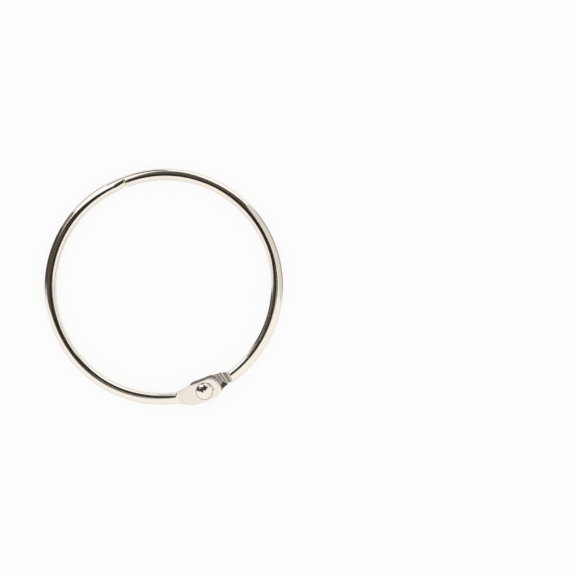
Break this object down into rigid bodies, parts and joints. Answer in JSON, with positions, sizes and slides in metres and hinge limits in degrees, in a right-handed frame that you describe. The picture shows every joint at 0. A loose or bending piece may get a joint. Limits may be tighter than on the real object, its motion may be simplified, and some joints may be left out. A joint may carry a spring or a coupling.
{
  "type": "binder ring",
  "caption": "Hinged loose-leaf binder ring of round plated wire: half rings with pressed, riveted ears that close pin into socket.",
  "frame": {"origin": "centre of the closed ring, in the mid-plane of its wire", "axes": "+Z along the ring's axis, on the side of the rivet's high dome; -Y towards the hinge; +Y towards the seam; -X towards the half ring with the front ear and the pin"},
  "size_m": [0.0564, 0.0568, 0.0044],
  "materials": {
    "nickel_plated_steel": "bright nickel plating on steel wire",
    "nickel_plated_rivet": "bright nickel plating on a steel rivet"
  },
  "bodies": {
    "left_side": {"left_half": "nickel_plated_steel", "rivet": "nickel_plated_rivet"},
    "right_side": {"right_half": "nickel_plated_steel"}
  },
  "joints": [
    {"name": "ring_hinge", "type": "hinge", "parent": "left_side", "child": "right_side", "pos_m": [0, -0.02654, 0], "axis": [0, 0, -1], "range_deg": [0, 120]}
  ]
}
